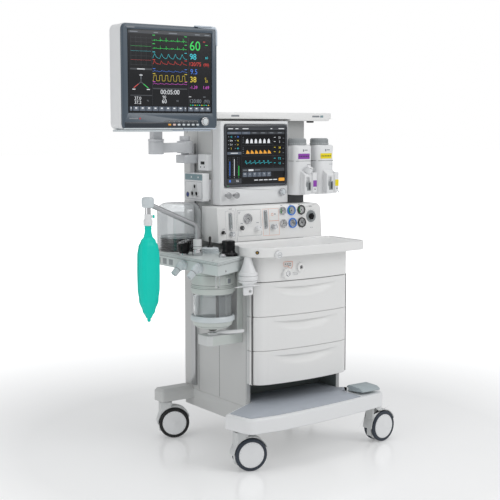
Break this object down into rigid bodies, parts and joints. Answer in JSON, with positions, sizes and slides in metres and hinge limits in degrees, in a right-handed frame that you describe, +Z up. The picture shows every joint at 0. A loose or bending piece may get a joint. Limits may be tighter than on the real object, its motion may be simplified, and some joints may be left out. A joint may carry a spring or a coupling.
{
  "type": "anesthesia machine",
  "caption": "Wheeled anesthesia workstation with drawers, worktop, display, vaporizers, breathing block, bag arm and a monitor on an arm.",
  "frame": {"origin": "on the floor, under the middle of the cabinet's width, midway between front and rear casters", "axes": "+Z up, +Y to the back, +X to the operator's right"},
  "size_m": [1.1445, 0.7024, 1.639],
  "materials": {
    "arm_metal": "brushed",
    "bag_rubber": "satin",
    "bellows_rubber": "matt",
    "black_plastic": "gloss",
    "block_grey": "satin",
    "button_grey": "gloss",
    "caster_hood": "satin",
    "caster_wheel": "satin",
    "chassis_paint": "satin",
    "clear_plastic": "clear",
    "dial_grey": "matt",
    "drawer_white": "satin",
    "fitting_metal": "polished",
    "gauge_faces": "gloss",
    "grey_shell": "satin",
    "module_metal": "plain",
    "monitor_case": "satin",
    "monitor_dark": "satin",
    "pad_rubber": "matt",
    "pedal_grey": "matt",
    "rail_aluminium": "brushed",
    "screen_glass": "gloss",
    "silver_knob": "satin",
    "vaporizer_case": "satin",
    "white_knob": "gloss",
    "white_shell": "satin"
  },
  "bodies": {
    "frame": {"base_frame": "chassis_paint", "footrest": "white_shell", "footrest_pad": "pad_rubber", "cabinet_shell": "white_shell", "worktop": "white_shell", "side_rail": "rail_aluminium", "tower_shell": "white_shell", "rear_cover": "grey_shell", "top_shelf": "white_shell", "display_housing": "white_shell", "display_panel": "screen_glass", "console_panel": "white_shell", "gauge_set": "gauge_faces", "vaporizer_left": "vaporizer_case", "vaporizer_right": "vaporizer_case", "breathing_block": "block_grey", "bellows_dome": "clear_plastic", "bellows": "bellows_rubber", "block_fittings": "fitting_metal", "water_trap": "white_shell", "gas_module": "white_shell", "canister_bracket": "block_grey", "internal_modules": "module_metal", "monitor_mount": "rail_aluminium"},
    "caster_fl": {"caster_hood_fl": "caster_hood"},
    "wheels_fl": {"caster_wheels_fl": "caster_wheel"},
    "caster_fr": {"caster_hood_fr": "caster_hood"},
    "wheels_fr": {"caster_wheels_fr": "caster_wheel"},
    "caster_rl": {"caster_hood_rl": "caster_hood"},
    "wheels_rl": {"caster_wheels_rl": "caster_wheel"},
    "caster_rr": {"caster_hood_rr": "caster_hood"},
    "wheels_rr": {"caster_wheels_rr": "caster_wheel"},
    "drawer_body_1": {"drawer_1": "drawer_white"},
    "drawer_body_2": {"drawer_2": "drawer_white"},
    "drawer_body_3": {"drawer_3": "drawer_white"},
    "brake": {"brake_pedal": "pedal_grey"},
    "flush": {"flush_button": "button_grey"},
    "auxiliary_flow_knob_body": {"auxiliary_flow_knob": "silver_knob"},
    "gas_outlet_switch_body": {"gas_outlet_switch": "black_plastic"},
    "suction_switch_body": {"suction_switch": "black_plastic"},
    "suction_knob_body": {"suction_knob": "white_knob"},
    "total_flow_knob_body": {"total_flow_knob": "silver_knob"},
    "system_switch_body": {"system_switch": "black_plastic"},
    "display_knob_body": {"display_knob": "silver_knob"},
    "dial_left": {"vaporizer_dial_left": "dial_grey"},
    "dial_right": {"vaporizer_dial_right": "dial_grey"},
    "bellows_top": {"bellows_plate": "bellows_rubber"},
    "apl_valve": {"apl_knob": "black_plastic"},
    "mode_selector": {"mode_lever": "white_knob"},
    "canister": {"absorber_canister": "clear_plastic"},
    "canister_latch": {"canister_lever": "white_knob"},
    "drain_tap": {"drain_wing": "white_knob"},
    "bag_support": {"bag_arm": "arm_metal", "breathing_bag": "bag_rubber"},
    "monitor_support": {"monitor_arm": "rail_aluminium"},
    "monitor_carrier": {"monitor_yoke": "rail_aluminium"},
    "monitor": {"monitor_shell": "monitor_case", "monitor_bezel": "monitor_dark", "monitor_screen": "screen_glass"},
    "monitor_knob_body": {"monitor_knob": "silver_knob"}
  },
  "joints": [
    {"name": "caster_swivel_fl", "type": "hinge", "parent": "frame", "child": "caster_fl", "pos_m": [-0.348, -0.272, 0.155], "axis": [0, 0, 1], "continuous": true},
    {"name": "wheel_roll_fl", "type": "hinge", "parent": "caster_fl", "child": "wheels_fl", "pos_m": [-0.31644, -0.28165, 0.0625], "axis": [0.2924, 0.9563, 0], "continuous": true},
    {"name": "caster_swivel_fr", "type": "hinge", "parent": "frame", "child": "caster_fr", "pos_m": [0.308, -0.272, 0.155], "axis": [0, 0, 1], "continuous": true},
    {"name": "wheel_roll_fr", "type": "hinge", "parent": "caster_fr", "child": "wheels_fr", "pos_m": [0.34092, -0.2697, 0.0625], "axis": [-0.0698, 0.9976, 0], "continuous": true},
    {"name": "caster_swivel_rl", "type": "hinge", "parent": "frame", "child": "caster_rl", "pos_m": [-0.348, 0.272, 0.155], "axis": [0, 0, 1], "continuous": true},
    {"name": "wheel_roll_rl", "type": "hinge", "parent": "caster_rl", "child": "wheels_rl", "pos_m": [-0.31785, 0.25858, 0.0625], "axis": [0.4067, 0.9135, 0], "continuous": true},
    {"name": "caster_swivel_rr", "type": "hinge", "parent": "frame", "child": "caster_rr", "pos_m": [0.308, 0.272, 0.155], "axis": [0, 0, 1], "continuous": true},
    {"name": "wheel_roll_rr", "type": "hinge", "parent": "caster_rr", "child": "wheels_rr", "pos_m": [0.34028, 0.26514, 0.0625], "axis": [0.2079, 0.9781, 0], "continuous": true},
    {"name": "drawer_1_slide", "type": "slide", "parent": "frame", "child": "drawer_body_1", "axis": [0, -1, 0], "range_m": [0, 0.3]},
    {"name": "drawer_2_slide", "type": "slide", "parent": "frame", "child": "drawer_body_2", "axis": [0, -1, 0], "range_m": [0, 0.3]},
    {"name": "drawer_3_slide", "type": "slide", "parent": "frame", "child": "drawer_body_3", "axis": [0, -1, 0], "range_m": [0, 0.3]},
    {"name": "brake_pedal_hinge", "type": "hinge", "parent": "frame", "child": "brake", "pos_m": [0.255, -0.226, 0.222], "axis": [1, 0, 0], "range_deg": [0, 4], "stiffness_Nm_per_rad": 20, "springref_deg": -5.73},
    {"name": "flush_press", "type": "slide", "parent": "frame", "child": "flush", "axis": [0, 1, 0], "range_m": [0, 0.004], "stiffness_N_per_m": 600, "springref_m": -0.001},
    {"name": "auxiliary_flow_knob_turn", "type": "hinge", "parent": "frame", "child": "auxiliary_flow_knob_body", "pos_m": [-0.221, -0.02611, 0.858], "axis": [0, -1, 0], "range_deg": [0, 720]},
    {"name": "gas_outlet_switch_turn", "type": "hinge", "parent": "frame", "child": "gas_outlet_switch_body", "pos_m": [-0.262, -0.02558, 0.864], "axis": [0, -1, 0], "range_deg": [0, 90]},
    {"name": "suction_switch_turn", "type": "hinge", "parent": "frame", "child": "suction_switch_body", "pos_m": [-0.173, -0.02436, 0.878], "axis": [0, -1, 0], "range_deg": [0, 90]},
    {"name": "suction_knob_turn", "type": "hinge", "parent": "frame", "child": "suction_knob_body", "pos_m": [-0.097, -0.02462, 0.875], "axis": [0, -1, 0], "range_deg": [0, 540]},
    {"name": "total_flow_knob_turn", "type": "hinge", "parent": "frame", "child": "total_flow_knob_body", "pos_m": [-0.019, -0.02445, 0.877], "axis": [0, -1, 0], "range_deg": [0, 720]},
    {"name": "system_switch_turn", "type": "hinge", "parent": "frame", "child": "system_switch_body", "pos_m": [0.176, -0.02164, 0.909], "axis": [0, -1, 0], "range_deg": [0, 60]},
    {"name": "display_knob_turn", "type": "hinge", "parent": "frame", "child": "display_knob_body", "pos_m": [0.07, 0.03, 1.01], "axis": [0, -1, 0], "continuous": true},
    {"name": "vaporizer_dial_left_turn", "type": "hinge", "parent": "frame", "child": "dial_left", "pos_m": [0.146, 0.035, 1.21], "axis": [0, 0, 1], "range_deg": [0, 280]},
    {"name": "vaporizer_dial_right_turn", "type": "hinge", "parent": "frame", "child": "dial_right", "pos_m": [0.262, 0.035, 1.21], "axis": [0, 0, 1], "range_deg": [0, 280]},
    {"name": "bellows_rise", "type": "slide", "parent": "frame", "child": "bellows_top", "axis": [0, 0, 1], "range_m": [0, 0.09], "deforming": ["bellows"]},
    {"name": "apl_turn", "type": "hinge", "parent": "frame", "child": "apl_valve", "pos_m": [-0.428, -0.01, 0.8], "axis": [0, 0, 1], "range_deg": [-180, 90]},
    {"name": "mode_lever_turn", "type": "hinge", "parent": "frame", "child": "mode_selector", "pos_m": [-0.312, -0.012, 0.8], "axis": [0, 0, 1], "range_deg": [-60, 0]},
    {"name": "canister_drop", "type": "slide", "parent": "frame", "child": "canister", "axis": [0, 0, 1], "range_m": [-0.006, 0]},
    {"name": "canister_lever_turn", "type": "hinge", "parent": "frame", "child": "canister_latch", "pos_m": [-0.345, -0.079, 0.49], "axis": [0, 0, 1], "range_deg": [-70, 0]},
    {"name": "drain_turn", "type": "hinge", "parent": "frame", "child": "drain_tap", "pos_m": [-0.274, -0.212, 0.672], "axis": [0, 0, 1], "range_deg": [0, 90]},
    {"name": "bag_arm_swing", "type": "hinge", "parent": "frame", "child": "bag_support", "pos_m": [-0.4, -0.06, 0.8], "axis": [0, 0, 1], "range_deg": [-50, 50]},
    {"name": "monitor_arm_swing", "type": "hinge", "parent": "frame", "child": "monitor_support", "pos_m": [-0.288, 0.205, 1.192], "axis": [0, 0, 1], "range_deg": [-60, 5]},
    {"name": "monitor_swivel", "type": "hinge", "parent": "monitor_support", "child": "monitor_carrier", "pos_m": [-0.488, 0.09, 1.192], "axis": [0, 0, 1], "range_deg": [-45, 20]},
    {"name": "monitor_tilt", "type": "hinge", "parent": "monitor_carrier", "child": "monitor", "pos_m": [-0.488, 0.09, 1.332], "axis": [1, 0, 0], "range_deg": [-10, 15]},
    {"name": "monitor_knob_turn", "type": "hinge", "parent": "monitor", "child": "monitor_knob_body", "pos_m": [-0.4, -0.107, 1.292], "axis": [0, -1, 0], "continuous": true}
  ],
  "couplings": [
    {"joint": "canister_lever_turn", "follows": "canister_drop", "rad_per_m": 200}
  ]
}
